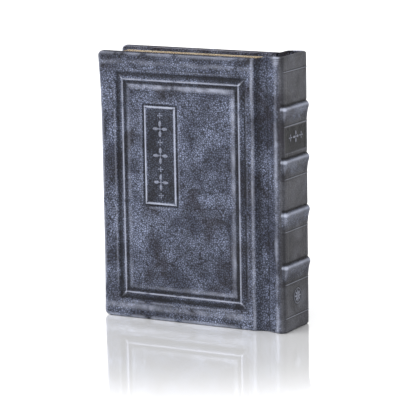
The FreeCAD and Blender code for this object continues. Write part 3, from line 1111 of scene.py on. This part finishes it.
def wovenCloth(name, colour, second, pitch):
    # plain weave of spun thread: over and under, a little uneven, with a soft sheen
    material = newMaterial(name)
    here = addNode(material, "ShaderNodeTexCoord").outputs["Object"]
    along = addNode(material, "ShaderNodeTexWave", {
        "Vector": here, "Scale": 1 / (pitch * 3.2 * mm), "Distortion": 0.6, "Detail": 1.0,
    }, bands_direction="Z").outputs["Fac"]
    across = addNode(material, "ShaderNodeTexWave", {
        "Vector": here, "Scale": 1 / (pitch * 3.2 * mm), "Distortion": 0.6, "Detail": 1.0,
    }, bands_direction="Y").outputs["Fac"]
    weave = addNode(material, "ShaderNodeMath", {0: along, 1: across}, operation="MULTIPLY").outputs[0]
    tint = addNode(material, "ShaderNodeMix", {0: weave, 6: linear(second), 7: linear(colour)},
                   data_type="RGBA").outputs[2]
    bump = addNode(material, "ShaderNodeBump", {
        "Height": weave, "Distance": 0.15 * mm, "Strength": 0.7,
    }).outputs[0]
    shader = addNode(material, "ShaderNodeBsdfPrincipled", {
        "Base Color": tint, "Roughness": 0.85, "IOR": 1.5, "Normal": bump, "Sheen Weight": 0.2,
    })
    return finishMaterial(material, shader)


def giltEdge():
    # gold leaf laid on the trimmed edges and burnished: metal, finely streaked along the leaves
    material = newMaterial("burnishedGiltEdge")
    here = addNode(material, "ShaderNodeTexCoord").outputs["Object"]
    # 2400 streaks to the metre, 0.4 mm or two leaves each: a single leaf's line is too fine to show
    drawn = addNode(material, "ShaderNodeVectorMath", {
        0: here, 1: (7.0, 2400.0, 7.0),
    }, operation="MULTIPLY").outputs[0]
    lines = addNode(material, "ShaderNodeTexNoise", {
        "Vector": drawn, "Scale": 1.0, "Detail": 2.0, "Roughness": 0.6,
    }).outputs["Fac"]
    streak = addNode(material, "ShaderNodeMapRange", {
        "Value": lines, "From Min": 0.32, "From Max": 0.64,
    }).outputs[0]
    worn = addNode(material, "ShaderNodeTexNoise", {
        "Vector": here, "Scale": 180.0, "Detail": 4.0,
    }).outputs["Fac"]
    tint = addNode(material, "ShaderNodeMix", {0: streak, 6: linear("#7b5829"), 7: linear("#bd9254")},
                   data_type="RGBA").outputs[2]
    rough = addNode(material, "ShaderNodeMapRange", {
        "Value": worn, "To Min": 0.14, "To Max": 0.32,
    }).outputs[0]
    shader = addNode(material, "ShaderNodeBsdfPrincipled", {
        "Base Color": tint, "Metallic": 1.0, "Roughness": rough,
    })
    return finishMaterial(material, shader)


def silkThread(name, colour, second):
    # twisted embroidery silk: fine slanting plies and a satin sheen
    material = newMaterial(name)
    here = addNode(material, "ShaderNodeTexCoord").outputs["Object"]
    plies = addNode(material, "ShaderNodeTexWave", {
        "Vector": here, "Scale": 1 / (0.9 * mm), "Distortion": 0.4,
    }, bands_direction="DIAGONAL").outputs["Fac"]
    tint = addNode(material, "ShaderNodeMix", {0: plies, 6: linear(second), 7: linear(colour)},
                   data_type="RGBA").outputs[2]
    bump = addNode(material, "ShaderNodeBump", {
        "Height": plies, "Distance": 0.08 * mm, "Strength": 0.6,
    }).outputs[0]
    shader = addNode(material, "ShaderNodeBsdfPrincipled", {
        "Base Color": tint, "Roughness": 0.4, "IOR": 1.5, "Normal": bump, "Sheen Weight": 0.3,
    })
    return finishMaterial(material, shader)


# name, colour, second colour, fibre length in mm, roughness and depth of the surface in mm
bookPaper = fibrePaper("creamWoveBookPaper", "#e9dfc6", "#f3ecd9", 0.6, 0.85, 0.03)
endpaper = fibrePaper("heavyToneEndpaper", "#d3c8ae", "#dacfb7", 0.9, 0.8, 0.05)
millboard = fibrePaper("rolledGreyMillboard", "#77756f", "#8f8c84", 1.2, 0.95, 0.15)
liningCloth = wovenCloth("stiffenedCottonMull", "#d8d0bd", "#a89f8b", 0.7)
linenTape = wovenCloth("unbleachedLinenTape", "#c9bda0", "#94896c", 0.5)
giltLeaf = giltEdge()
paleSilk = silkThread("creamEmbroiderySilk", "#e7dcc0", "#b9aa86")
blueSilk = silkThread("slateEmbroiderySilk", "#4d5870", "#2b3346")
print("materials ready")

leaves = {
    "pitch": 0.2006,  # each leaf and the air beside it
    "thickness": 0.186,
    "unevenness": 0.05,  # how much longer or shorter one leaf is than the next
    "packets": 8,
    "cuts": (6.0, 30.0, 60.0, 90.0, 115.0, 130.0),
    "foreSeed": 1.7,
    "endSeed": 5.3,
}
firstLow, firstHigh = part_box("section_01")
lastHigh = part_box("section_16")[1]
blockFront = (firstLow.y - frontFace) / mm
blockBack = (lastHigh.y - frontFace) / mm
blockFore = (firstLow.x - foreEdge) / mm
blockFold = (firstHigh.x - foreEdge) / mm
packetPitch = (blockBack - blockFront) / leaves["packets"]


def addLeaf(x0, x1, z0, z1, depth):
    # one leaf starts as a plane on edge
    corner, far = place(x0, depth, z0), place(x1, depth, z1)
    bpy.ops.mesh.primitive_plane_add(size=1, location=(corner + far) / 2, rotation=(math.pi / 2, 0, 0))
    piece = bpy.context.object
    piece.scale = (far.x - corner.x, far.z - corner.z, 1)
    bpy.ops.object.transform_apply(location=True, rotation=True, scale=True)
    return piece


def makeLeafPack(name, low, high):
    # the leaves between two depths: one is modelled, cut and copied, each copy a little longer or shorter
    count = max(1, round((high - low) / leaves["pitch"]))
    step = (high - low) / count
    deselectAll()
    piece = addLeaf(blockFore, blockFold, firstLow.z / mm, firstHigh.z / mm, low + step / 2)
    startPiece(piece, name)
    edit(piece)
    cutAt([place(x, 0, 0).x for x in leaves["cuts"]], 0)
    for copyNumber in range(1, count):
        bpy.ops.mesh.select_all(action="DESELECT")
        last = frontFace + (low + step * (copyNumber - 0.5)) * mm
        selectWhere(piece, lambda v: abs(v.co.y - last) < step * 0.3 * mm)
        bpy.ops.mesh.duplicate_move(TRANSFORM_OT_translate={"value": (0, step * mm, 0)})
    leaveEdit()
    table = vertexTable(piece)
    numbers = np.round((table[:, 1] - frontFace) / mm / leaves["pitch"])
    foreWave, endWave = (
        np.array([noise.noise(Vector((n * 1.37, seed, 0.5))) for n in numbers]) * leaves["unevenness"] * mm
        for seed in (leaves["foreSeed"], leaves["endSeed"]))
    fore = table[:, 0] < place(blockFore + 1, 0, 0).x
    head = table[:, 2] > firstHigh.z - mm
    tail = table[:, 2] < firstLow.z + mm
    table[fore, 0] += foreWave[fore]
    table[head, 2] += endWave[head]
    table[tail, 2] -= endWave[tail]
    storeVertexTable(piece, table)
    return piece


def finishLeaves(piece):
    applyModifier(piece, "SOLIDIFY", thickness=leaves["thickness"] * mm, offset=0)
    dress(piece, bookPaper)
    piece.data.materials.append(giltLeaf)
    for face in piece.data.polygons:
        trimmed = abs(face.normal.z) > 0.7 or face.normal.x < -0.7
        face.material_index = 1 if trimmed and abs(face.normal.y) < 0.6 else 0


middles = [blockFront + packetPitch * (k + 0.5) for k in range(leaves["packets"])]
firstLeaves = makeLeafPack("leavesFirst", blockFront, middles[0])
finishLeaves(firstLeaves)
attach(firstLeaves, "leaves_1")
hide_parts("section_01")
for k in range(1, leaves["packets"]):
    pack = makeLeafPack("leavesBetween" + str(k), middles[k - 1], middles[k])
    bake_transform(pack)
    finishLeaves(pack)
    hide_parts("section_%02d" % (2 * k), "section_%02d" % (2 * k + 1))
lastLeaves = makeLeafPack("leavesLast", middles[-1], blockBack)
finishLeaves(lastLeaves)
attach(lastLeaves, "leaves_8")
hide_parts("section_16")
print("leaves done")

flyleaf = {
    "hingeReach": 130.0,
    "thickness": 0.2,
    "cuts": (
        10, 30, 50, 70, 90, 105, 112, 115, 115.8, 116.6, 117.4, 118.2, 119, 119.8, 120.6, 121.4, 123, 127,
    ),
    "upCuts": (40, 95, 150),
    "bend": (121.4, 115.5),  # two places on the leaf's side of the hinge, worked out below and then not used
}


def makeFlyleaf(side):
    low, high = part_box(side + "_flyleaf")
    deselectAll()
    frontLow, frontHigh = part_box("front_flyleaf")  # both are made at the front
    depth = ((frontLow.y + frontHigh.y) / 2 - frontFace) / mm
    piece = addLeaf((low.x - foreEdge) / mm, flyleaf["hingeReach"], low.z / mm, high.z / mm, depth)
    startPiece(piece, side + "FlyleafSheet")
    edit(piece)
    cutAt([place(x, 0, 0).x for x in flyleaf["cuts"]], 0)
    cutAt([z * mm for z in flyleaf["upCuts"]], 2)
    leaveEdit()
    applyModifier(piece, "SOLIDIFY", thickness=flyleaf["thickness"] * mm, offset=0)
    near, far = (place(x, depth, 95) for x in flyleaf["bend"])
    if side == "back":
        mirrorToBack(piece)
        near, far = mirroredPoint(near), mirroredPoint(far)
    dress(piece, endpaper)
    bpy.ops.object.shade_smooth()
    bpy.ops.object.shade_smooth_by_angle(angle=math.radians(40))
    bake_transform(piece)
    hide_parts(side + "_flyleaf")


makeFlyleaf("front")
makeFlyleaf("back")
print("flyleaves done")

endband = {
    "beadPitch": 0.9,  # one turn of the silk round its core
    "overlap": 1.18,  # each turn presses into the next
    "segments": 12,
    "rings": 8,
}


def makeEndband(k):
    low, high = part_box("endbands_" + str(k))
    count = round((high.y - low.y) / mm / endband["beadPitch"])
    step = (high.y - low.y) / count
    parts = []
    for z0, z1 in ((firstHigh.z, high.z), (low.z, firstLow.z)):
        for number in range(count):
            deselectAll()
            bpy.ops.mesh.primitive_uv_sphere_add(
                segments=endband["segments"], ring_count=endband["rings"], radius=0.5,
                location=((low.x + high.x) / 2, low.y + step * (number + 0.5), (z0 + z1) / 2))
            bead = bpy.context.object
            bead.scale = (high.x - low.x, step * endband["overlap"], (z1 - z0) * 1.02)
            bpy.ops.object.transform_apply(location=True, rotation=True, scale=True)
            dress(bead, paleSilk if number % 2 else blueSilk)
            parts.append(bead)
    piece = joinParts(parts)
    piece.name = "endbandSilk" + str(k)
    piece.data.name = piece.name
    bpy.ops.object.shade_smooth()
    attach(piece, "leaves_" + str(k))
    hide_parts("endbands_" + str(k))


for k in range(1, leaves["packets"] + 1):
    makeEndband(k)
print("endbands done")

for name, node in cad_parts.items():
    if name.endswith(("_board", "_card")) or name == "spine_stiffener" or name == "raised_bands":
        finish = millboard
    elif name.endswith("_pastedown"):
        finish = endpaper
    elif name.startswith("spine_lining"):
        finish = liningCloth
    elif name.startswith("sewing_tapes"):
        finish = linenTape
    elif name.startswith("endbands"):
        finish = blueSilk
    elif name.startswith("section") or name.endswith("_flyleaf"):
        finish = bookPaper
    else:
        finish = goatskin
    dress(node, finish)
print("CAD nodes dressed")
